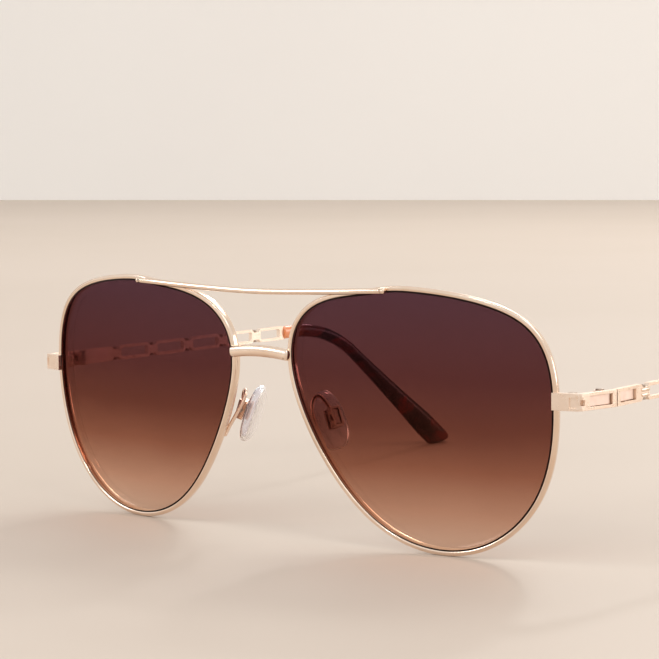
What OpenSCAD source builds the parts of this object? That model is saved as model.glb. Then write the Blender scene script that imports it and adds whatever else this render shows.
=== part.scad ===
// Aviator sunglasses: a wire front with a brow bar, and folding temples made of open links.
// Millimetres. +Z is up, +Y runs back along the temples and +X is the wearer's left.
// The origin is under the middle of the open pair, on the surface that it stands on.
// Side pieces are drawn for the wearer's left and mirrored for the right.

/* [Front] */
// From the middle of the nose to the middle of each lens
lens_x = 37.1; // [36.5:0.1:37.5]
// How far each lens turns back towards its temple, in degrees
wrap = 6.4; // [6:0.1:6.8]
// How far the top of the front leans forward when the pair stands, in degrees
lean = 6.9; // [6.7:0.1:7.1]
// Radius of the lens surface across its width
bow_r = 101; // [96:1:106]
// Radius of the lens surface over its height
drop_r = 133; // [126:1:140]
// Width of the rim wire around the lens
rim_w = 1.1; // [1:0.05:1.2]
// Depth of the rim wire from front to back
rim_d = 2; // [1.9:0.05:2.1]
// Thickness of the lenses
lens_t = 1.5; // [1.3:0.1:1.6]

/* [Bridge and brow bar] */
// Half length of the brow bar
brow_half = 33.5; // [32:0.5:34]
// Diameter of the brow bar
brow_d = 1.2; // [1:0.1:1.3]
// Half length of the bridge
bridge_half = 7.9; // [7.7:0.1:8.1]
// Height of the bridge's section
bridge_h = 2.4; // [2.2:0.1:2.6]

/* [Temples] */
// Height of the end pieces and of the temple links
strap_h = 3.3; // [3.1:0.1:3.5]
// Thickness of the end pieces and of the temple links
strap_t = 1.1; // [1:0.05:1.15]
// How far the open temples turn in towards each other, in degrees
toe = 2.7; // [2.5:0.1:2.9]
// How far the temples rise from the hinge to the tip, in degrees
rise = 1.1; // [1:0.1:1.2]
// From one link joint to the next
link_pitch = 11.4; // [11:0.1:11.6]
// Length of the window in each link
link_window = 8.4; // [8:0.1:8.5]

/* [Tips] */
// Radius of the bend over the ear
bend_r = 33; // [32:0.5:34]
// Slope of the tip behind the ear, in degrees
tip_drop = 37.5; // [37:0.1:38]
// Height of the tip's section near its end
tip_h = 6.4; // [6:0.1:6.6]
// Thickness of the tip
tip_t = 2.3; // [2.1:0.1:2.5]

/* [Nose pads] */
// Length of a nose pad
pad_l = 12.6; // [12:0.1:13]
// Width of a nose pad
pad_w = 7.4; // [7:0.1:7.6]
// Thickness of a nose pad
pad_t = 2.6; // [2.4:0.1:2.8]

/* [Hidden] */
$fn = 48;
PAIRS = ["rim", "lens", "end_piece", "closing_block", "rim_screw", "front_hinge_leaf",
    "hinge_screw", "pad_arm", "pad_clip", "pad_screw", "pad_insert", "nose_pad",
    "temple_hinge_leaf", "temple_links", "link_pins", "core_wire", "temple_tip"];

gold = [0.86, 0.69, 0.54];
pale_gold = [0.93, 0.8, 0.68];
steel = [0.75, 0.73, 0.7];
lens_brown = [0.35, 0.17, 0.15, 0.8];
tortoise = [0.22, 0.1, 0.07];
clear = [0.86, 0.84, 0.92, 0.6];

front_y = -71.37;   // depth of the lens centres in the part's own frame
lens_z = 26.07;     // height of the lens centres
face_back = 0.5;    // how far the lens surface is set back into the front
twist = 0.0014;     // how much the lens surface turns from top to bottom, per mm
fit_gap = 0.04;     // running clearance of a turning piece, on the radius and at its ends
hinge = [70, 17, 31.7];     // middle of the hinge, measured from the middle of the front
strap_out = 3;      // from the hinge axis to the outer face of the strap
strap_in = strap_out - strap_t;

// Control points of the lens's edge, as a closed cubic B-spline: +u is the temple side, +v up
lens_control = [[29.9, 3.6], [27.2, 22.1], [-2.6, 26.1], [-5.9, 24.6], [-23.5, 23.7],
    [-32.8, 11.1], [-17.6, -17.4], [-1.8, -26.3], [14.5, -25.2], [26.9, -13.9]];
span_steps = 7;

// ---- Curves and solids along them ----

function unit(v) = v / norm(v);
function b_spline(a, b, c, d, t) =
    (pow(1 - t, 3) * a + (3 * t * t * t - 6 * t * t + 4) * b
    + (-3 * t * t * t + 3 * t * t + 3 * t + 1) * c + t * t * t * d) / 6;
function closed_spline(ctrl, steps) = let (n = len(ctrl))
    [for (i = [0 : n - 1], k = [0 : steps - 1])
        b_spline(ctrl[i], ctrl[(i + 1) % n], ctrl[(i + 2) % n], ctrl[(i + 3) % n], k / steps)];
// A smooth curve through every point of an open path
function through(a, b, c, d, t) = b + t * (c - a) / 2 + t * t * (a - 2.5 * b + 2 * c - d / 2)
    + t * t * t * (-a / 2 + 1.5 * b - 1.5 * c + d / 2);
function open_path(p, steps) = let (n = len(p) - 1)
    concat([for (i = [0 : n - 1], k = [0 : steps - 1])
        through(p[max(i - 1, 0)], p[i], p[i + 1], p[min(i + 2, n)], k / steps)], [p[n]]);
function arc(c, r, from, to, n = 8) =
    [for (i = [0 : n]) let (a = from + (to - from) * i / n) c + r * [cos(a), sin(a)]];
// A ring of points in 3D, from a 2D section laid along two directions
function ring(c, x, y, section) = [for (s = section) c + s.x * x + s.y * y];
function oval(rx, ry, n) = [for (j = [0 : n - 1]) [rx * cos(360 * j / n), ry * sin(360 * j / n)]];

// A solid from rings of points: the rings make a loop, or the first and last are closed
module loft(rings, loop = false) {
    n = len(rings);
    m = len(rings[0]);
    sides = [for (i = [0 : loop ? n - 1 : n - 2], j = [0 : m - 1])
        let (a = i * m, b = ((i + 1) % n) * m, k = (j + 1) % m)
        each [[a + j, a + k, b + k], [a + j, b + k, b + j]]];
    ends = loop ? [] : [[for (j = [m - 1 : -1 : 0]) j], [for (j = [0 : m - 1]) (n - 1) * m + j]];
    polyhedron(points = [for (r = rings) each r], faces = concat(sides, ends), convexity = 6);
}

// A bar of one section along a path; up is the direction of the section's own y axis
module bar(path, section, up) {
    n = len(path) - 1;
    loft([for (i = [0 : n]) let (along = unit(path[min(i + 1, n)] - path[max(i - 1, 0)]),
        x = unit(cross(along, up)), y = cross(x, along)) ring(path[i], x, y, section)]);
}

module other_side() mirror([1, 0, 0]) children();
module at_front() translate([0, front_y, 0]) children();

// ---- Front: lens surface, rims and lenses ----

// How far the lens surface lies behind the middle of the front, and how steeply it falls back
function sag(u, v) = tan(wrap) * u + u * u / (2 * bow_r) + v * v / (2 * drop_r) + twist * u * v
    + face_back;
function slope_u(u, v) = tan(wrap) + u / bow_r + twist * v;
function slope_v(u, v) = v / drop_r + twist * u;
// From the lens's own axes to the front's: the lens leans, then moves to its side
function stood(q) = [lens_x + q.x, q.y * cos(lean) - q.z * sin(lean),
    q.z * cos(lean) + q.y * sin(lean) + lens_z];
// The point at p on the lens surface, then a outwards in direction n, and b back
function on_lens(p, n, a, b) = let (
    out = unit([n.x, n.x * slope_u(p.x, p.y) + n.y * slope_v(p.x, p.y), n.y]),
    back = unit([-slope_u(p.x, p.y), 1, -slope_v(p.x, p.y)]))
    stood([p.x, sag(p.x, p.y), p.y] + a * out + b * back);

edge = closed_spline(lens_control, span_steps);
stations = len(edge);
edge_out = [for (i = [0 : stations - 1])
    let (t = unit(edge[(i + 1) % stations] - edge[(i + stations - 1) % stations])) [t.y, -t.x]];

// Half of the rim wire's section, inside to outside: x across the wire, y its depth
half_section = [[0, 0.36], [0, 0.8], [0.2, 1], [0.8, 1], [1, 0.8], [1, 0.2]];
groove = 0.42;
rim_section = concat([[groove, 0]], half_section, [[0.88, 0]],
    [for (k = [5 : -1 : 0]) [half_section[k].x, -half_section[k].y]]);

module rim() color(gold) at_front()
    loft([for (i = [0 : stations - 1])
        [for (s = rim_section) on_lens(edge[i], edge_out[i], s.x * rim_w, s.y * rim_d / 2)]],
        loop = true);

// Rings from the middle of the front, over the bevel that sits in the rim, to the back
module lens() color(lens_brown) at_front() {
    face = [0.2, 0.45, 0.7, 0.9];
    lens_gap = -0.06;
    bevel_t = 0.6;
    rings = concat([for (s = face) [s, 0, -lens_t / 2]],
        [[1, lens_gap, -lens_t / 2], [1, lens_gap, -bevel_t / 2], [1, groove - 0.06, 0],
        [1, lens_gap, bevel_t / 2], [1, lens_gap, lens_t / 2]],
        [for (k = [3 : -1 : 0]) [face[k], 0, lens_t / 2]]);
    loft([for (r = rings)
        [for (i = [0 : stations - 1]) on_lens(edge[i] * r.x, edge_out[i], r.y, r.z)]]);
}

// ---- Bridge and brow bar ----

module bridge() color(gold) at_front() {
    arch = 0.6;
    end_z = 37.75;
    half = [[-bridge_half, -1, end_z], [-4.2, -1.2, end_z + 0.72 * arch],
        [0, -1.25, end_z + arch]];
    path = open_path(concat(half, [for (k = [1, 0]) [-half[k].x, half[k].y, half[k].z]]), 6);
    bar(path, oval(0.95, bridge_h / 2, 16), [0, 0, 1]);
}

module brow_bar() color(gold) at_front() {
    half = [[-brow_half, -2.1, 51.6], [-27.5, -2.65, 51.4], [-21, -2.9, 51.1],
        [-10, -3, 50.7], [0, -3.05, 50.5]];
    path = open_path(concat(half, [for (k = [3 : -1 : 0]) [-half[k].x, half[k].y, half[k].z]]), 4);
    bar(path, oval(brow_d / 2, brow_d / 2, 12), [0, 0, 1]);
}

// ---- End piece, rim lock and hinge ----

strap_x = hinge.x + strap_out;      // outer face of the end piece at the hinge
corner_x = 72.1;                    // outer face of the end piece at its corner
past_hinge = 1.3;                   // how far the end piece runs past the hinge axis
lug_end = hinge.y + past_hinge;     // where the end piece stops and the temple begins
splay = 5.2;                        // how far the end piece spreads back to the hinge

// A box from its low corner to its high corner
module block(low, high) translate(low) cube(high - low);

module end_piece() color(gold) at_front() {
    window = [[10.4, lug_end - 1.2], [-1.05, 1.05]];
    bend = 1.3;
    slant = 15;     // the front of the strap follows the wrap of the rim
    start = [66.5, 6.1];
    corner = [corner_x - bend, start.y + (corner_x - bend - start.x) * tan(slant) + bend];
    outline = concat([start], arc(corner, bend, slant - 90, -splay), [[strap_x, lug_end],
        [strap_x - strap_t, lug_end]], arc(corner, bend - strap_t, -splay, slant - 90),
        [start + strap_t * [-sin(slant), cos(slant)]]);
    difference() {
        translate([0, 0, hinge.z - strap_h / 2]) linear_extrude(strap_h) polygon(outline);
        translate([0, 0, hinge.z]) block([strap_x - 2, window.x.x, window.y.x],
            [strap_x + 1, window.x.y, window.y.y]);
        // Shallow square panel, and a slot through the corner
        translate([start.x, start.y, hinge.z]) rotate(slant) {
            block([3.5, -1, -1.1], [5.3, 0.3, 0.85]);
            block([5.6, -1, -0.65], [6.2, 2, 0.4]);
        }
    }
}

lock_at = [69, 9.6];      // the screw that closes the rim around the lens
lock_r = 0.5;

module closing_block() color(gold) at_front() difference() {
    for (side = [-1, 1]) translate([0, 0, hinge.z + side * 0.7])
        block([66.5, 8.3, -0.6], [70.4, 10.9, 0.6]);
    translate([lock_at.x, lock_at.y, hinge.z - 3]) cylinder(r = lock_r, h = 6);
}

// A slotted screw that hangs down from its head
module screw(r, head_r, head_h, length) difference() {
    union() {
        translate([0, 0, -length]) cylinder(r = r, h = length);
        cylinder(r = head_r, h = head_h);
    }
    translate([0, 0, head_h]) cube([2.4 * head_r, 0.25, head_h], center = true);
}

module rim_screw() color(steel) at_front()
    translate([lock_at.x, lock_at.y, hinge.z + 1.3]) screw(lock_r, 0.85, 0.3, 2.6);

barrel_r = 1.15;
pivot_r = 0.5;
knuckle = 0.95;         // height of one of the three knuckles

// One knuckle of the barrel, with the arm that joins it to its leaf
module knuckle_at(z, bore_r, arm_low, arm_high, h) translate([0, 0, z]) difference() {
    union() {
        cylinder(r = barrel_r, h = h, center = true);
        block([arm_low.x, arm_low.y, -h / 2], [arm_high.x, arm_high.y, h / 2]);
    }
    cylinder(r = bore_r, h = h + 1, center = true);
}

// Each leaf lies against the inside of its strap, with a panel that stands into the window
panel = 0.6;

module front_hinge_leaf() color(pale_gold) at_front() translate(hinge) {
    translate([strap_in, past_hinge, 0]) rotate(-splay) {
        block([-0.6, -8.7, -1.45], [0.02, -1.45, 1.45]);
        block([-0.1, -7.55, -0.95], [panel, -1.5, 0.95]);
    }
    for (side = [-1, 1])
        knuckle_at(side * (knuckle + fit_gap / 2), pivot_r, [0.3, -1.4], [strap_in, 0],
            knuckle - fit_gap);
}

module hinge_screw() color(steel) at_front()
    translate([hinge.x, hinge.y, hinge.z + 1.5 * knuckle]) screw(pivot_r, 0.85, 0.3, 3 * knuckle);

// ---- Nose pads ----

// Middle of the pad, its long direction and the direction in which it faces the nose
pad_at = [10.4, 8.3, 24.1];
pad_up = unit([-0.36, 0.03, 0.93]);
pad_face = let (n = [-0.94, 0.34, 0]) unit(n - (n * pad_up) * pad_up);
pad_side = cross(pad_up, pad_face);
clip_back = 2.6;        // from the pad's middle back to the middle of its clip
clip_at = pad_at - clip_back * pad_face;
clip = [2.2, 4.1, 1.7];     // across, along and through the clip
clip_wall = 0.4;
pad_pin_r = 0.35;

// Moves a piece drawn flat to the pad's place: x across it, y along it, z facing the nose
module at_pad(p) at_front() multmatrix([for (k = [0 : 2])
    [pad_side[k], pad_up[k], pad_face[k], p[k]]]) children();

// A rounded slab: a plump outline whose rings shrink towards the back and the face
module nose_pad() color(clear) difference() {
    at_pad(pad_at) pad_body();
    at_pad(clip_at) insert_body();
}

module pad_body() {
    n = 36;
    outline = [for (j = [n - 1 : -1 : 0]) let (a = 360 * j / n, taper = 1 - 0.13 * sin(a))
        [pad_w / 2 * taper * sign(cos(a)) * pow(abs(cos(a)), 0.8),
        pad_l / 2 * sign(sin(a)) * pow(abs(sin(a)), 0.9)]];
    // How much of the outline is left, and how high above the middle
    levels = [[0.55, -0.5], [0.86, -0.5], [0.96, -0.42], [1, -0.25], [0.99, -0.05],
        [0.93, 0.16], [0.8, 0.33], [0.6, 0.44], [0.3, 0.5]];
    loft([for (s = levels) [for (p = outline) [p.x * s[0], p.y * s[0], pad_t * s[1]]]]);
}

// A plate inside the pad, and the tab that stands behind it
module insert_body() {
    block([-0.55, -1.45, -0.6], [0.55, 1.45, clip_back - 0.3 * pad_t]);
    translate([0, 0, clip_back - 0.3 * pad_t]) block([-1.2, -2, -0.3], [1.2, 2, 0.1]);
}

// The insert is moulded into the pad, and its tab turns in the clip
module pad_insert() color(pale_gold) difference() {
    at_pad(clip_at) insert_body();
    at_pad(clip_at) rotate([0, 90, 0]) cylinder(r = pad_pin_r + fit_gap, h = 4, center = true);
}

module pad_clip() color(gold) at_pad(clip_at) difference() {
    linear_extrude(clip.z, center = true) difference() {
        square([clip.x, clip.y], center = true);
        square([clip.x - 2 * clip_wall, clip.y - 2 * clip_wall], center = true);
    }
    rotate([0, 90, 0]) cylinder(r = pad_pin_r, h = 4, center = true);
}

module pad_screw() color(steel) at_pad(clip_at) rotate([0, 90, 0]) {
    cylinder(r = pad_pin_r, h = clip.x, center = true);
    translate([0, 0, clip.x / 2]) cylinder(r = 0.6, h = 0.25);
}

wire_r = 0.4;

module pad_arm() color(gold) at_front() {
    top = clip_at + (clip.y / 2 - 0.1) * pad_up + 0.6 * pad_side;
    path = open_path([[13.6, 2.95, 19.6], [12.4, 3, 21.6], [11.1, 3.2, 23.6], [9.6, 3.8, 26.4],
        [9.2, 4.5, 28.2], [9.6, 5.1, 29.2], [10.4, 5.6, 29.1], [11, 6, 28.3], [11.5, 6.4, 27.4],
        top], 4);
    bar(path, oval(wire_r, wire_r, 10), [0, 1, 0.01]);
}

// ---- Temples ----

// The temple's own frame: origin on the hinge axis, +y along the temple, x outwards
module at_temple() at_front() translate(hinge) rotate([0, 0, toe]) children();
module on_rise() rotate([rise, 0, 0]) children();

links_start = 1.5;
first_joint = 11.8;
joints = [for (k = [0 : 4]) first_joint + k * link_pitch];
links_end = first_joint + 4.83 * link_pitch;
neck_h = strap_h - 1.5;

module temple_hinge_leaf() color(pale_gold) at_temple() {
    block([strap_in - 0.6, 1.35, -1.4], [strap_in + 0.02, 8.6, 1.4]);
    on_rise() block([strap_in - 0.1, 2.7, -0.95], [strap_in + panel, 8.2, 0.95]);
    knuckle_at(0, pivot_r + fit_gap, [0.3, 0], [strap_in - 0.2, 1.6], knuckle - fit_gap);
}

// An upright window with cut corners
module window(from, to, h, cut = 0.3) {
    side = [[from + cut, h / 2], [from, h / 2 - cut], [from, cut - h / 2], [from + cut, -h / 2]];
    polygon(concat(side, [for (k = [3 : -1 : 0]) [from + to - side[k].x, side[k].y]]));
}

module links_outline() difference() {
    translate([links_start, -strap_h / 2]) square([links_end - links_start, strap_h]);
    translate([links_start + 1.1, -1.05]) square([5.7, 2.1]);
    for (j = joints) {
        window(j + 1.5, min(j + 1.5 + link_window, links_end - 1.3), strap_h - 1.25);
        for (side = [-1, 1]) scale([1, side]) polygon([[j - 1.5, strap_h], [j - 1.5, strap_h / 2],
            [j - 0.8, neck_h / 2], [j + 0.8, neck_h / 2], [j + 1.5, strap_h / 2],
            [j + 1.5, strap_h]]);
    }
}

// Links, with two beads across each joint and a tang that runs into the tip
module temple_links() color(gold) at_temple() on_rise() difference() {
    union() {
        translate([strap_in, 0, 0]) rotate([90, 0, 90]) linear_extrude(strap_t) links_outline();
        for (j = joints, side = [-1, 1]) translate([strap_out - 0.35, j, side * 0.5])
            rotate([90, 0, 0]) cylinder(r = 0.5, h = 2.8, center = true);
    }
    for (j = joints) translate([strap_out - strap_t / 2, j, 0])
        cylinder(r = 0.3, h = 4, center = true);
}

module link_pins() color(steel) at_temple() on_rise()
    for (j = joints) translate([strap_out - strap_t / 2, j, 0]) {
        cylinder(r = 0.3, h = neck_h, center = true);
        for (side = [-1, 1]) translate([0, 0, side * (neck_h / 2 + 0.3)])
            cylinder(r = 0.5, h = 0.6, center = true);
    }

// Middle line of the tip: on along the links, round the bend, then straight down
bend_y = 72;
bend_z = bend_y * sin(rise);
tip_x = strap_out - strap_t / 2;
bend_angle = tip_drop + rise;
straight = 42.72;
function middle(s) = let (round = bend_r * bend_angle * PI / 180,
    a = min(max(s, 0), round) / bend_r * 180 / PI, past = max(s - round, 0))
    [bend_y + min(s, 0) * cos(rise) + bend_r * (sin(a - rise) + sin(rise))
        + past * cos(tip_drop),
    bend_z + min(s, 0) * sin(rise) - bend_r * (cos(rise) - cos(a - rise))
        - past * sin(tip_drop)];
function slope(s) = let (round = bend_r * bend_angle * PI / 180)
    rise - min(max(s, 0), round) / bend_r * 180 / PI;

tip_end = bend_r * bend_angle * PI / 180 + straight;
tip_start = (links_end - bend_y) / cos(rise) - 0.02;
// The tip widens behind the bend; it ends in a slanted, rounded toe
tip_h_start = 3.1;
function tip_height(s) = tip_h_start
    + (tip_h - tip_h_start) * pow(min(max((s - 22) / 34, 0), 1), 1.4);
function end_round(s) = let (t = max(1 - (tip_end - s) / 3, 0)) pow(1 - pow(t, 3), 1 / 3);

module temple_tip() color(tortoise) at_temple() difference() {
    tip_body();
    wire();
}

module tip_body() {
    steps = 30;
    section = [for (j = [0 : 15]) let (a = 360 * j / 16)
        [sign(cos(a)) * pow(abs(cos(a)), 0.85), sign(sin(a)) * pow(abs(sin(a)), 0.7)]];
    stops = concat([for (i = [0 : steps]) tip_start + (tip_end - 2.8 - tip_start) * i / steps],
        [tip_end - 1.8, tip_end - 1, tip_end - 0.4, tip_end - 0.03]);
    loft([for (s = stops) let (m = middle(s), a = slope(s), w = end_round(s),
        lead = 3.2 * w * pow(min(max((s - tip_end + 12) / 12, 0), 1), 2),
        h = tip_height(s) / 2)
        [for (p = section) [tip_x + p.x * tip_t / 2 * (0.25 + 0.75 * w),
            m.x - p.y * h * w * sin(a) + p.y * lead * cos(a),
            m.y + p.y * h * w * cos(a) + p.y * lead * sin(a)]]]);
}

// Flattened wire that stiffens the tip, brazed to the end of the links
module core_wire() color(steel) at_temple() wire();

module wire() {
    wire_end = tip_end - 12;
    from = (links_end - bend_y) / cos(rise) - 0.2;
    path = [for (i = [0 : 24]) let (m = middle(from + (wire_end - from) * i / 24))
        [tip_x, m.x, m.y]];
    bar(path, oval(0.55, 0.8, 10), [0, 0.4, 1]);
}

bridge();
brow_bar();
rim();  // left_rim
lens();  // left_lens
end_piece();  // left_end_piece
closing_block();  // left_closing_block
rim_screw();  // left_rim_screw
front_hinge_leaf();  // left_front_hinge_leaf
hinge_screw();  // left_hinge_screw
pad_arm();  // left_pad_arm
pad_clip();  // left_pad_clip
pad_screw();  // left_pad_screw
pad_insert();  // left_pad_insert
nose_pad();  // left_nose_pad
temple_hinge_leaf();  // left_temple_hinge_leaf
temple_links();  // left_temple_links
link_pins();  // left_link_pins
core_wire();  // left_core_wire
temple_tip();  // left_temple_tip
other_side() rim();  // right_rim
other_side() lens();  // right_lens
other_side() end_piece();  // right_end_piece
other_side() closing_block();  // right_closing_block
other_side() rim_screw();  // right_rim_screw
other_side() front_hinge_leaf();  // right_front_hinge_leaf
other_side() hinge_screw();  // right_hinge_screw
other_side() pad_arm();  // right_pad_arm
other_side() pad_clip();  // right_pad_clip
other_side() pad_screw();  // right_pad_screw
other_side() pad_insert();  // right_pad_insert
other_side() nose_pad();  // right_nose_pad
other_side() temple_hinge_leaf();  // right_temple_hinge_leaf
other_side() temple_links();  // right_temple_links
other_side() link_pins();  // right_link_pins
other_side() core_wire();  // right_core_wire
other_side() temple_tip();  // right_temple_tip
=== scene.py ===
"""Aviator sunglasses: the looks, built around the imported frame.

Shapes are worked out in millimetres, in the CAD part's own frame, and go into Blender in metres.
Side pieces are made for the wearer's left (+X) and mirrored for the right.
"""

from math import cos, pi, radians, sin, tan

import bmesh
import bpy
import numpy as np
from mathutils import Matrix, Vector


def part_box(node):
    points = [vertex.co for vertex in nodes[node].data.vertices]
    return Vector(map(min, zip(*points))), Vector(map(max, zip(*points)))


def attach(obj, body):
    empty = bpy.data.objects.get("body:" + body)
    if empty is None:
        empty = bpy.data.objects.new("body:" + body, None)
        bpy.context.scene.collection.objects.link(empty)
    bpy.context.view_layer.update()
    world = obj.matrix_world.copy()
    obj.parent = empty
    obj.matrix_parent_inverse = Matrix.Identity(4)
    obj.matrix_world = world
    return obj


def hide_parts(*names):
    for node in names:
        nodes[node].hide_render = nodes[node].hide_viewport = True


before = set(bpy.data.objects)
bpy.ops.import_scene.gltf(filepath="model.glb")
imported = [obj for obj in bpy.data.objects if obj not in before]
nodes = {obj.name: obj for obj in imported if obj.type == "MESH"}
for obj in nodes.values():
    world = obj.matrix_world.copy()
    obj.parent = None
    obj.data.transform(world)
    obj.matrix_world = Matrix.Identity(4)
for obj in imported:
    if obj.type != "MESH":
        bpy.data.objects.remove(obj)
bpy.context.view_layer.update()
MM = 0.001

# ---- Design sizes, as in the CAD part ----

LENS_X, LENS_Z, FRONT_Y = 37.1, 26.07, -71.37
WRAP, LEAN = radians(6.4), radians(6.9)
BOW_R, DROP_R, TWIST, FACE_BACK = 101, 133, 0.0014, 0.5
RIM_W, RIM_D, LENS_T = 1.1, 2.0, 1.5
LENS_CONTROL = [[29.9, 3.6], [27.2, 22.1], [-2.6, 26.1], [-5.9, 24.6], [-23.5, 23.7],
                [-32.8, 11.1], [-17.6, -17.4], [-1.8, -26.3], [14.5, -25.2], [26.9, -13.9]]
HINGE = np.array([70, 17, 31.7])
STRAP_OUT, STRAP_T = 3, 1.1
TOE, RISE = radians(2.7), radians(1.1)
BEND_Y, BEND_R, TIP_DROP, STRAIGHT = 72, 33, radians(37.5), 42.72
TIP_H_START, TIP_H, TIP_T = 3.1, 6.4, 2.3
LINKS_END = 11.8 + 4.83 * 11.4
PAD_AT = np.array([10.4, 8.3, 24.1])
PAD_L, PAD_W, PAD_T, CLIP_BACK, CLIP_L = 12.6, 7.4, 2.6, 2.6, 4.1
WIRE_R = 0.4
# The new skins stay just inside the CAD sizes
SKIN = 0.99


# ---- Curves ----

def unit(v):
    v = np.asarray(v, float)
    return v / np.linalg.norm(v)


def closed_spline(control, steps):
    """Points of a closed cubic B-spline."""
    c = np.array(control, float)
    t = np.arange(steps)[:, None] / steps
    spans = []
    for i in range(len(c)):
        a, b, d, e = (c[(i + k) % len(c)] for k in range(4))
        spans.append(((1 - t) ** 3 * a + (3 * t ** 3 - 6 * t ** 2 + 4) * b
                      + (-3 * t ** 3 + 3 * t ** 2 + 3 * t + 1) * d + t ** 3 * e) / 6)
    return np.concatenate(spans)


def open_path(points, steps):
    """A smooth curve through every point of an open path."""
    p = np.array(points, float)
    n = len(p) - 1
    out = []
    for i in range(n):
        a, b, c, d = p[max(i - 1, 0)], p[i], p[i + 1], p[min(i + 2, n)]
        for t in np.arange(steps) / steps:
            out.append(b + t * (c - a) / 2 + t * t * (a - 2.5 * b + 2 * c - d / 2)
                       + t ** 3 * (-a / 2 + 1.5 * b - 1.5 * c + d / 2))
    return np.array(out + [p[n]])


def mirrored(half, steps):
    """A smooth path from the points of its first half, the last of them on the middle plane."""
    return open_path(half + [[-p[0], p[1], p[2]] for p in half[-2::-1]], steps)


def squarish(count, power_x, power_y):
    """A rounded section, from a circle at power 1 to a rectangle at power 0."""
    a = 2 * pi * np.arange(count) / count
    return np.stack([np.sign(np.cos(a)) * np.abs(np.cos(a)) ** power_x,
                     np.sign(np.sin(a)) * np.abs(np.sin(a)) ** power_y], 1)


def end_rounding(distance, radius):
    """How full a section is at this distance from an end that is rounded off."""
    t = np.clip(1 - distance / radius, 0, 1)
    return np.sqrt(np.maximum(1 - t * t, 0.0004))


# ---- Meshes ----

def make_object(name, verts, faces, side):
    """An object from millimetre points; the right side is the mirror image of the left."""
    verts = np.array(verts, float) * MM
    if side == "right":
        verts[:, 0] *= -1
        faces = [f[::-1] for f in faces]
    mesh = bpy.data.meshes.new(name)
    mesh.from_pydata(verts.tolist(), [], faces)
    mesh.update()
    obj = bpy.data.objects.new(name, mesh)
    bpy.context.scene.collection.objects.link(obj)
    smooth(obj)
    return obj


def smooth(obj):
    obj.data.polygons.foreach_set("use_smooth", [True] * len(obj.data.polygons))


def loft(name, rings, side="left", loop=False):
    """A closed skin over rings of points, which make a loop or are capped at both ends."""
    n, m = len(rings), len(rings[0])
    faces = []
    for i in range(n if loop else n - 1):
        a, b = i * m, (i + 1) % n * m
        for j in range(m):
            k = (j + 1) % m
            faces.append([a + j, a + k, b + k, b + j])
    if not loop:
        faces.append(list(range(m))[::-1])
        faces.append([(n - 1) * m + j for j in range(m)])
    return make_object(name, np.concatenate(rings), faces, side)


def bar(name, path, section, up, fullness=None, side="left"):
    """A bar of one section along a path; fullness shrinks the section at each point."""
    n = len(path) - 1
    rings = []
    for i in range(n + 1):
        along = unit(path[min(i + 1, n)] - path[max(i - 1, 0)])
        x = unit(np.cross(along, up))
        y = np.cross(x, along)
        full = 1 if fullness is None else fullness[i]
        rings.append(path[i] + full * (section[:, :1] * x + section[:, 1:] * y))
    return loft(name, rings, side)


def lengths(path):
    """How far along the path each of its points is."""
    steps = np.linalg.norm(np.diff(path, axis=0), axis=1)
    return np.concatenate([[0], np.cumsum(steps)])


def spaced(path, count, end_step=0.06, end_length=0.9):
    """The same path with evenly spaced points, and close ones near both ends."""
    at = lengths(path)
    near = np.arange(0, end_length, end_step)
    where = np.concatenate([near, np.linspace(end_length, at[-1] - end_length, count),
                            (at[-1] - near)[::-1]])
    return np.stack([np.interp(where, at, path[:, k]) for k in range(3)], 1)


def softened(node, bevel):
    """A copy of a CAD node's shape, its flat faces whole again and its edges rounded."""
    source = nodes[node]
    mesh = source.data.copy()
    mesh.name = node + "_soft"
    obj = bpy.data.objects.new(node + "_soft", mesh)
    bpy.context.scene.collection.objects.link(obj)
    bm = bmesh.new()
    bm.from_mesh(mesh)
    bmesh.ops.remove_doubles(bm, verts=bm.verts, dist=2e-6)
    bmesh.ops.dissolve_limit(bm, angle_limit=radians(1.5), verts=bm.verts, edges=bm.edges)
    bm.to_mesh(mesh)
    bm.free()
    modifier = obj.modifiers.new("Rounded edges", "BEVEL")
    modifier.width = bevel * MM
    modifier.segments = 3
    modifier.limit_method = "ANGLE"
    modifier.angle_limit = radians(32)
    modifier.use_clamp_overlap = True
    smooth(obj)
    obj.modifiers.new("Flat faces", "WEIGHTED_NORMAL").weight = 100
    return obj


# ---- The lens surface ----

def sag(u, v):
    return tan(WRAP) * u + u * u / (2 * BOW_R) + v * v / (2 * DROP_R) + TWIST * u * v + FACE_BACK


def on_lens(p, n, out_by, back_by):
    """The point at p on the lens surface, then outwards along n, and back."""
    u, v = p[..., 0], p[..., 1]
    slope_u, slope_v = tan(WRAP) + u / BOW_R + TWIST * v, v / DROP_R + TWIST * u
    out = np.stack([n[..., 0], n[..., 0] * slope_u + n[..., 1] * slope_v, n[..., 1]], -1)
    back = np.stack([-slope_u, np.ones_like(u), -slope_v], -1)
    out /= np.linalg.norm(out, axis=-1, keepdims=True)
    back /= np.linalg.norm(back, axis=-1, keepdims=True)
    q = np.stack([u, sag(u, v), v], -1) + out_by * out + back_by * back
    return np.stack([LENS_X + q[..., 0],
                     q[..., 1] * cos(LEAN) - q[..., 2] * sin(LEAN) + FRONT_Y,
                     q[..., 2] * cos(LEAN) + q[..., 1] * sin(LEAN) + LENS_Z], -1)


EDGE = closed_spline(LENS_CONTROL, 32)
along_edge = np.roll(EDGE, -1, 0) - np.roll(EDGE, 1, 0)
along_edge /= np.linalg.norm(along_edge, axis=1, keepdims=True)
EDGE_OUT = np.stack([along_edge[:, 1], -along_edge[:, 0]], 1)


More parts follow.
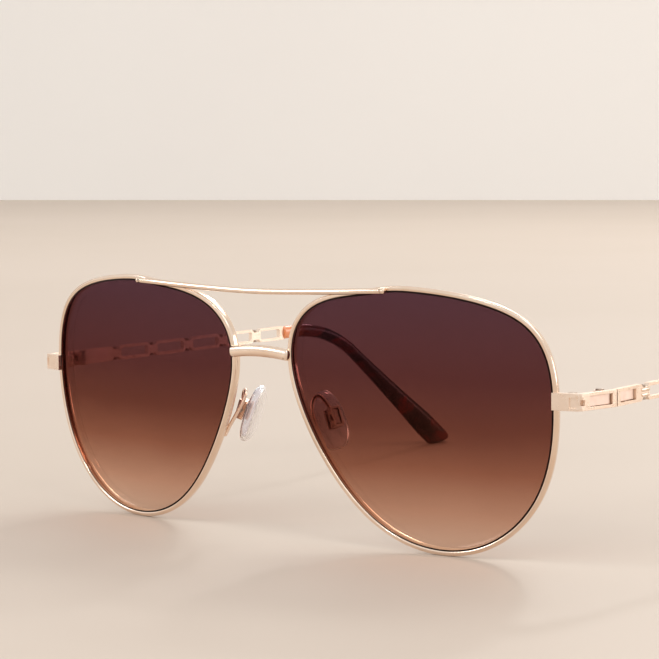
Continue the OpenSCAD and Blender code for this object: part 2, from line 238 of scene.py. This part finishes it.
def make_rim(side):
    """Wire of a rounded section around the lens."""
    section = squarish(28, 0.62, 0.5)
    rings = []
    for s in section:
        across, deep = (s[0] + 1) / 2 * RIM_W, s[1] * RIM_D / 2 * SKIN
        rings.append(on_lens(EDGE, EDGE_OUT, across, deep))
    return loft(side + "_rim_wire", list(np.array(rings).transpose(1, 0, 2)), side, loop=True)


def make_lens(side):
    """A thin curved lens: rings from the middle out, over its edge, and back to the middle.

    The edge, with a narrow strip of the face before it, has the second material: near-black painted
    shade for the groove of the rim.
    """
    share = np.linspace(0, 0.96, 25)[1:]
    half = LENS_T / 2
    # strip: how far the painted groove shade reaches onto the face
    seam, strip, bevel = 0.02, 0.23, 0.8
    rings = [on_lens(EDGE * s, EDGE_OUT, 0, -half) for s in share]
    rings.append(on_lens(EDGE, EDGE_OUT, -strip, -half))
    first_dark = len(rings) - 1
    for out_by, back_by in ((-seam, -1), (0.1, -0.7), (0, -0.4), (-bevel, 1)):
        rings.append(on_lens(EDGE, EDGE_OUT, out_by, back_by * half))
    rings += [on_lens(EDGE * s, EDGE_OUT, 0, half) for s in share[::-1]]
    obj = loft(side + "_lens_shell", rings, side)
    m = len(EDGE)
    # Faces of the edge and of the strip get the painted shade
    for poly in obj.data.polygons:
        ring = poly.index // m
        if first_dark <= ring < first_dark + 3:
            poly.material_index = 1
    return obj


# ---- Front pieces ----

def make_bridge():
    """A low arch of a rounded oval section, with rounded ends."""
    end_z, arch, half_length, height = 37.75, 0.6, 7.9, 2.4
    half = [[-half_length, -1, end_z], [-4.2, -1.2, end_z + 0.72 * arch], [0, -1.25, end_z + arch]]
    path = spaced(mirrored(half, 24) + [0, FRONT_Y, 0], 60)
    at = lengths(path)
    section = squarish(36, 0.9, 0.85) * [0.93, height / 2]
    full = end_rounding(np.minimum(at, at[-1] - at), 0.7)
    return bar("bridge_bar", path, section, [0, 0, 1], 0.25 + 0.75 * full)


def make_brow_bar():
    half = [[-33.5, -2.1, 51.6], [-27.5, -2.65, 51.4], [-21, -2.9, 51.1], [-10, -3, 50.7],
            [0, -3.05, 50.5]]
    path = spaced(mirrored(half, 16) + [0, FRONT_Y, 0], 110)
    at = lengths(path)
    full = end_rounding(np.minimum(at, at[-1] - at), 0.35)
    return bar("brow_wire", path, squarish(24, 1, 1) * 0.6, [0, 0, 1], full)


PAD_UP = unit([-0.36, 0.03, 0.93])
PAD_AWAY = np.array([-0.94, 0.34, 0])
PAD_FACE = unit(PAD_AWAY - np.dot(PAD_AWAY, PAD_UP) * PAD_UP)
PAD_SIDE = np.cross(PAD_UP, PAD_FACE)
CLIP_AT = PAD_AT - CLIP_BACK * PAD_FACE


def make_nose_pad(side):
    """A soft drop-shaped pad, crowned towards the nose and slightly dished at the back."""
    n = 64
    a = 2 * pi * np.arange(n)[::-1] / n
    taper = 1 - 0.13 * np.sin(a)
    x = PAD_W / 2 * taper * np.sign(np.cos(a)) * np.abs(np.cos(a)) ** 0.8
    y = PAD_L / 2 * np.sign(np.sin(a)) * np.abs(np.sin(a)) ** 0.9
    rings = []
    for k in range(1, 40):
        t = k / 40 * pi
        share = sin(t) ** 0.55
        height = -0.5 * cos(t) * abs(cos(t)) ** -0.25 * PAD_T
        if t < pi / 2:
            height *= 0.96 - 0.1 * (1 - share)
        flat = share * SKIN * (x[:, None] * PAD_SIDE + y[:, None] * PAD_UP)
        rings.append(PAD_AT + [0, FRONT_Y, 0] + flat + height * PAD_FACE)
    return loft(side + "_pad_soft", rings, side)


def make_pad_arm(side):
    top = CLIP_AT + (CLIP_L / 2 - 0.1) * PAD_UP + 0.6 * PAD_SIDE
    path = open_path([[13.6, 2.95, 19.6], [12.4, 3, 21.6], [11.1, 3.2, 23.6], [9.6, 3.8, 26.4],
                      [9.2, 4.5, 28.2], [9.6, 5.1, 29.2], [10.4, 5.6, 29.1], [11, 6, 28.3],
                      [11.5, 6.4, 27.4], top], 12)
    path = spaced(path + [0, FRONT_Y, 0], 80)
    at = lengths(path)
    full = end_rounding(at, 0.5)
    section = squarish(20, 1, 1) * WIRE_R * 0.98
    return bar(side + "_pad_wire", path, section, [0, 1, 0.01], full, side)


# ---- Temple tip ----

def middle(s):
    """Middle line of the tip: on along the links, round the bend, then straight down."""
    turn = BEND_R * (TIP_DROP + RISE)
    a = min(max(s, 0), turn) / BEND_R
    past = max(s - turn, 0)
    y = BEND_Y + min(s, 0) * cos(RISE) + BEND_R * (sin(a - RISE) + sin(RISE)) + past * cos(TIP_DROP)
    z = BEND_Y * sin(RISE) + min(s, 0) * sin(RISE) - BEND_R * (cos(RISE) - cos(a - RISE))
    return y, z - past * sin(TIP_DROP), RISE - a


def make_tip(side):
    """Moulded tip: a low ridge runs along both faces, and the end is slanted and rounded."""
    end = BEND_R * (TIP_DROP + RISE) + STRAIGHT
    start = (LINKS_END - BEND_Y) / cos(RISE)
    stops = np.concatenate([start + np.array([0, 0.06, 0.15, 0.3]),
                            np.linspace(start + 0.6, end - 3, 110),
                            end - 3 * (1 - np.sin(np.linspace(0.04, 0.5 * pi, 24)))])
    section = squarish(48, 0.8, 0.62)
    widens_at, widens_over = 22, 34
    round_end, slant, slant_over = 3, 3.2, 12
    hinge = HINGE + [0, FRONT_Y, 0]
    rings = []
    for s in stops:
        y, z, a = middle(s)
        full = (1 - max(1 - (end - s) / round_end, 0) ** 3) ** (1 / 3) if s < end else 0.0
        full = max(full, 0.03)
        lip = min(1, 0.86 + 0.14 * min((s - start) / 0.3, 1) ** 0.5)
        lead = slant * full * min(max((s - end + slant_over) / slant_over, 0), 1) ** 2
        wide = min(max((s - widens_at) / widens_over, 0), 1) ** 1.4
        h = (TIP_H_START + (TIP_H - TIP_H_START) * wide) / 2
        ridge = 1 - 0.13 * np.abs(section[:, 1]) ** 1.5
        x = STRAP_OUT - STRAP_T / 2 + section[:, 0] * ridge * TIP_T / 2 * lip * (0.25 + 0.75 * full)
        up = section[:, 1] * h * full * lip
        ahead = section[:, 1] * lead
        ty = y - up * sin(a) + ahead * cos(a)
        tz = z + up * cos(a) + ahead * sin(a)
        rings.append(np.stack([hinge[0] + x * cos(TOE) - ty * sin(TOE),
                               hinge[1] + x * sin(TOE) + ty * cos(TOE), hinge[2] + tz], 1))
    return loft(side + "_tip_shell", rings, side)


# ---- Materials ----

class Nodes:
    """Short calls for building one material's nodes."""

    def __init__(self, name):
        self.material = bpy.data.materials.new(name)
        self.material.use_nodes = True
        self.tree = self.material.node_tree
        self.shader = self.tree.nodes["Principled BSDF"]
        self.output = self.tree.nodes["Material Output"]

    def add(self, kind, **values):
        node = self.tree.nodes.new(kind)
        for key, value in values.items():
            setattr(node, key, value)
        return node

    def link(self, source, target):
        self.tree.links.new(source, target)

    def place(self):
        return self.add("ShaderNodeTexCoord").outputs["Object"]

    def noise(self, scale, detail=4, roughness=0.5, stretch=None, distortion=0):
        node = self.add("ShaderNodeTexNoise")
        node.inputs["Scale"].default_value = scale
        node.inputs["Detail"].default_value = detail
        node.inputs["Roughness"].default_value = roughness
        node.inputs["Distortion"].default_value = distortion
        if stretch:
            mapping = self.add("ShaderNodeMapping")
            mapping.inputs["Scale"].default_value = stretch
            self.link(self.place(), mapping.inputs["Vector"])
            self.link(mapping.outputs["Vector"], node.inputs["Vector"])
        else:
            self.link(self.place(), node.inputs["Vector"])
        return node.outputs["Fac"]

    def ramp(self, source, stops):
        node = self.add("ShaderNodeValToRGB")
        elements = node.color_ramp.elements
        while len(elements) < len(stops):
            elements.new(0.5)
        for element, (at, colour) in zip(elements, stops):
            element.position = at
            element.color = (*colour, 1)
        self.link(source, node.inputs["Fac"])
        return node.outputs["Color"]

    def remap(self, source, from_min, from_max, to_min=0.0, to_max=1.0):
        node = self.add("ShaderNodeMapRange")
        for name, value in (("From Min", from_min), ("From Max", from_max),
                            ("To Min", to_min), ("To Max", to_max)):
            node.inputs[name].default_value = value
        self.link(source, node.inputs["Value"])
        return node.outputs["Result"]

    def bump(self, source, strength, distance):
        node = self.add("ShaderNodeBump")
        node.inputs["Strength"].default_value = strength
        node.inputs["Distance"].default_value = distance
        self.link(source, node.inputs["Height"])
        self.link(node.outputs["Normal"], self.shader.inputs["Normal"])

    def set(self, **values):
        for key, value in values.items():
            self.shader.inputs[key.replace("_", " ")].default_value = value


def srgb(r, g, b):
    """Linear colour from an 8-bit sRGB one."""
    out = []
    for c in (r / 255, g / 255, b / 255):
        out.append(c / 12.92 if c <= 0.04045 else ((c + 0.055) / 1.055) ** 2.4)
    return tuple(out)


def plated_metal(name, light, dark, roughness, grain, sheen=0.0):
    """Plated metal: colour drifts a little, and fine polishing marks break up the gloss.

    Sheen brightens the outline of thin wire.
    """
    n = Nodes(name)
    n.set(Metallic=1.0, Sheen_Weight=sheen, Sheen_Roughness=0.25)
    n.link(n.ramp(n.noise(90, 3), [(0.35, dark), (0.65, light)]), n.shader.inputs["Base Color"])
    n.link(n.remap(n.noise(900, 5, 0.6), 0.3, 0.7, roughness * 0.8, roughness * 1.3),
           n.shader.inputs["Roughness"])
    n.bump(n.noise(2600, 3, 0.6, stretch=(1, 0.3, 1)), grain, 0.00002)
    return n.material


# What each face of the lens lets through, from the bottom of the lens to its top
# The downward fade is the lens's own tint; the bottom stops are also made clearer as painted light,
# lifting the lens's shadow seen through it
LENS_STOPS = [(0.0, (0.88, 0.76, 0.68)), (0.14, (0.78, 0.60, 0.51)), (0.32, (0.56, 0.36, 0.29)),
              (0.48, (0.41, 0.24, 0.205)), (0.66, (0.345, 0.20, 0.20)), (1.0, (0.33, 0.225, 0.27))]


def tinted_lens():
    """Clear plastic with a tint that fades downwards; its polished front reflects the room."""
    n = Nodes("lens_tint")
    z = n.add("ShaderNodeSeparateXYZ")
    n.link(n.place(), z.inputs["Vector"])
    low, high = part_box("left_lens")
    height = n.remap(z.outputs["Z"], low.z, high.z)
    drift = n.remap(n.noise(40, 2), 0.3, 0.7, -0.012, 0.012)
    total = n.add("ShaderNodeMath", operation="ADD")
    n.link(height, total.inputs[0])
    n.link(drift, total.inputs[1])
    through = n.ramp(total.outputs[0], LENS_STOPS)
    clear = n.add("ShaderNodeBsdfTransparent")
    n.link(through, clear.inputs["Color"])
    fresnel = n.add("ShaderNodeFresnel")
    fresnel.inputs["IOR"].default_value = 1.5
    front = n.add("ShaderNodeNewGeometry")
    only_front = n.add("ShaderNodeMath", operation="MULTIPLY")
    facing = n.remap(front.outputs["Backfacing"], 0, 1, 1, 0)
    n.link(fresnel.outputs["Fac"], only_front.inputs[0])
    n.link(facing, only_front.inputs[1])
    mix = n.add("ShaderNodeMixShader")
    n.link(only_front.outputs[0], mix.inputs["Fac"])
    n.link(clear.outputs["BSDF"], mix.inputs[1])
    gloss = n.add("ShaderNodeBsdfGlossy")
    gloss.inputs["Roughness"].default_value = 0.03
    n.link(gloss.outputs["BSDF"], mix.inputs[2])
    n.link(mix.outputs["Shader"], n.output.inputs["Surface"])
    n.tree.nodes.remove(n.shader)
    return n.material


def lens_edge_shade():
    """The ground edge of the lens, painted near-black as the shade where it sits in the rim."""
    n = Nodes("lens_edge_shade")
    # Near-black painted shade, a little uneven
    n.link(n.ramp(n.noise(300, 3), [(0.3, srgb(22, 11, 8)), (0.7, srgb(36, 19, 14))]),
           n.shader.inputs["Base Color"])
    n.link(n.remap(n.noise(1500, 3), 0.3, 0.7, 0.5, 0.7), n.shader.inputs["Roughness"])
    n.set(Specular_IOR_Level=0.1)
    return n.material


def tortoiseshell():
    """Polished acetate: dark brown clouds with red flecks over amber, paler near the links."""
    n = Nodes("tortoiseshell")
    clouds = n.noise(95, 5, 0.62, stretch=(1, 0.6, 1), distortion=1.6)
    colour = n.ramp(clouds, [(0.40, srgb(38, 27, 26)), (0.53, srgb(66, 42, 38)),
                             (0.62, srgb(142, 50, 40)), (0.74, srgb(186, 96, 60))])
    y = n.add("ShaderNodeSeparateXYZ")
    n.link(n.place(), y.inputs["Vector"])
    low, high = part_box("left_temple_tip")
    fade = n.ramp(n.remap(y.outputs["Y"], low.y, low.y + 0.014),
                  [(0.0, (1, 1, 1)), (0.3, (0.85, 0.85, 0.85)), (0.5, (0.15, 0.15, 0.15)),
                   (1.0, (0, 0, 0))])
    mix = n.add("ShaderNodeMix", data_type="RGBA")
    n.link(fade, mix.inputs["Factor"])
    n.link(colour, mix.inputs[6])
    mix.inputs[7].default_value = (*srgb(238, 150, 100), 1)
    n.link(mix.outputs[2], n.shader.inputs["Base Color"])
    n.link(n.remap(n.noise(700, 4), 0.3, 0.7, 0.13, 0.24), n.shader.inputs["Roughness"])
    n.set(Coat_Weight=0.6, Coat_Roughness=0.06, Subsurface_Weight=0.12, Subsurface_Scale=0.002)
    n.bump(n.noise(400, 3), 0.06, 0.00005)
    return n.material


def clear_silicone():
    """Clear soft silicone, faintly lilac and cloudy."""
    n = Nodes("clear_silicone")
    n.link(n.ramp(n.noise(500, 3), [(0.3, (0.86, 0.84, 0.93)), (0.7, (0.96, 0.95, 0.99))]),
           n.shader.inputs["Base Color"])
    n.link(n.remap(n.noise(900, 4), 0.3, 0.7, 0.06, 0.2), n.shader.inputs["Roughness"])
    n.set(Transmission_Weight=0.85, IOR=1.38, Coat_Weight=0.8, Coat_Roughness=0.05)
    n.bump(n.noise(260, 2), 0.15, 0.0002)
    return n.material


gold = plated_metal("rose_gold", srgb(247, 226, 207), srgb(238, 211, 188), 0.15, 0.05)
pale = plated_metal("pale_plating", srgb(250, 232, 220), srgb(242, 218, 204), 0.5, 0.02)
satin = plated_metal("rose_gold_satin", srgb(250, 231, 214), srgb(243, 219, 199), 0.3, 0.03)
wire_gold = plated_metal("pad_wire_gold", srgb(250, 226, 208), srgb(240, 208, 188), 0.22, 0.03,
                         sheen=1.0)
steel = plated_metal("screw_steel", srgb(206, 190, 176), srgb(176, 160, 148), 0.3, 0.08)
lens_tint = tinted_lens()
# Painted shade for the lens edge where it sits in the rim
wall = lens_edge_shade()
tortoise = tortoiseshell()
silicone = clear_silicone()


# ---- Pieces on their bodies ----

def finish_piece(obj, body, slot, materials, *replaced):
    if obj.data.materials:      # clearing also resets which face has which material
        obj.data.materials.clear()
    for material in materials:
        obj.data.materials.append(material)
    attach(obj, body)
    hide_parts(*replaced)


def give_material(node, material):
    """A CAD node whose shape is right stays, with its own material."""
    obj = nodes[node]
    obj.data.materials.clear()
    obj.data.materials.append(material)


finish_piece(make_bridge(), "front", "frame_metal", [gold], "bridge")
finish_piece(make_brow_bar(), "front", "frame_metal", [gold], "brow_bar")
for side in ("left", "right"):
    temple = side + "_temple"
    finish_piece(make_rim(side), "front", "frame_metal", [gold], side + "_rim")
    finish_piece(make_lens(side), "front", "lens", [lens_tint, wall], side + "_lens")
    finish_piece(make_pad_arm(side), "front", "frame_metal", [wire_gold], side + "_pad_arm")
    finish_piece(make_nose_pad(side), side + "_pad", "nose_pad", [silicone], side + "_nose_pad")
    finish_piece(make_tip(side), temple, "temple_tip", [tortoise], side + "_temple_tip")
    for piece, body, slot, material, bevel in (
            ("end_piece", "front", "frame_metal", satin, 0.12),
            ("closing_block", "front", "frame_metal", gold, 0.12),
            ("front_hinge_leaf", "front", "hinge_leaf", pale, 0.08),
            ("pad_clip", "front", "frame_metal", wire_gold, 0.16),
            ("temple_hinge_leaf", temple, "hinge_leaf", pale, 0.08),
            ("temple_links", temple, "frame_metal", satin, 0.1),
            ("link_pins", temple, "screw", steel, 0.08),
            ("rim_screw", "front", "screw", steel, 0.06),
            ("hinge_screw", "front", "screw", steel, 0.06),
            ("pad_screw", "front", "screw", steel, 0.05)):
        name = f"{side}_{piece}"
        finish_piece(softened(name, bevel), body, slot, [material], name)
    give_material(side + "_core_wire", steel)
    give_material(side + "_pad_insert", pale)


# ---- Stage, light and camera ----

def flat_material(name, light, dark, scale):
    n = Nodes(name)
    n.link(n.ramp(n.noise(scale, 4), [(0.3, dark), (0.7, light)]), n.shader.inputs["Base Color"])
    n.set(Roughness=0.6)
    return n.material


def stage_plane(name, corners, material):
    mesh = bpy.data.meshes.new(name)
    mesh.from_pydata(corners, [], [list(range(len(corners)))])
    mesh.materials.append(material)
    obj = bpy.data.objects.new(name, mesh)
    bpy.context.scene.collection.objects.link(obj)
    return obj


def area_light(name, at, target, size, power, colour):
    light = bpy.data.lights.new(name, "AREA")
    light.shape = "RECTANGLE"
    light.size, light.size_y = size
    light.energy = power
    light.color = colour
    obj = bpy.data.objects.new(name, light)
    obj.location = at
    obj.rotation_euler = (Vector(target) - Vector(at)).to_track_quat("-Z", "Y").to_euler()
    obj.visible_camera = False
    bpy.context.scene.collection.objects.link(obj)


# Camera: where it stands, how it is turned, and its lens
YAW, PITCH, ROLL = radians(40.442), radians(4.612), radians(-0.483)
CAMERA_AT = Vector((0.33039, (-366.99 + FRONT_Y) * MM, 0.08225))
forward = Vector((-sin(YAW) * cos(PITCH), cos(YAW) * cos(PITCH), -sin(PITCH)))
level_right = Vector((cos(YAW), sin(YAW), 0))
level_up = level_right.cross(forward)
right = cos(ROLL) * level_right + sin(ROLL) * level_up
up = cos(ROLL) * level_up - sin(ROLL) * level_right
camera_data = bpy.data.cameras.new("camera")
camera_data.sensor_width = 36
camera_data.lens = 134.23
camera_data.clip_start, camera_data.clip_end = 0.01, 50
camera = bpy.data.objects.new("camera", camera_data)
turn = Matrix((right, up, -forward)).transposed()
camera.matrix_world = Matrix.Translation(CAMERA_AT) @ turn.to_4x4()
bpy.context.scene.collection.objects.link(camera)
bpy.context.scene.camera = camera

# The floor meets the backdrop on a line that is level in the picture, above its middle
EDGE_RISE, HALF_VIEW, REACH = 0.0527, 18 / camera_data.lens, 6
floor_look = flat_material("floor_paint", srgb(203, 189, 176), srgb(199, 185, 171), 3)
wall_look = flat_material("wall_paint", srgb(250, 247, 243), srgb(247, 243, 239), 1)
ends = []
for across in (-1, 1):
    ray = forward + across * HALF_VIEW * right + EDGE_RISE * up
    ends.append((CAMERA_AT - ray * CAMERA_AT.z / ray.z).xy)
along = (ends[1] - ends[0]).normalized()
far_left, far_right = ends[0] - REACH * along, ends[1] + REACH * along
nearer = -REACH * Vector((-along.y, along.x))
stage_plane("floor", [(*(far_left + nearer), 0), (*(far_right + nearer), 0), (*far_right, 0),
                      (*far_left, 0)], floor_look)
stage_plane("backdrop", [(*far_left, 0), (*far_right, 0), (*far_right, 4), (*far_left, 4)],
            wall_look)

world = bpy.data.worlds.new("room")
world.use_nodes = True
background = world.node_tree.nodes["Background"]
background.inputs["Color"].default_value = (1.0, 0.99, 0.975, 1)
background.inputs["Strength"].default_value = 0.86
bpy.context.scene.world = world
area_light("key", (1.6, -0.6, 1.9), (0, 0, 0.02), (1.2, 1.2), 13, (1.0, 0.97, 0.94))
area_light("fill", (-1.2, -1.2, 0.8), (0, 0, 0.02), (0.7, 0.5), 7, (0.92, 0.96, 1.0))
area_light("back", (-0.4, 2.0, 1.9), (0, 0.1, 0.02), (1.6, 0.5), 14, (1.0, 0.98, 0.96))
area_light("window", (1.3, 1.45, 0.32), (0, 0, 0.03), (1.1, 0.5), 6.0, (1.0, 0.98, 0.96))
area_light("back_glint", (-0.7, 1.5, 1.0), (0, 0, 0.03), (0.14, 0.14), 3.5, (1.0, 0.97, 0.95))
area_light("front_glint", (0.1, -1.5, 1.3), (0, 0, 0.03), (0.2, 0.12), 2.0, (1.0, 0.98, 0.96))
bpy.context.scene.view_settings.view_transform = "Standard"
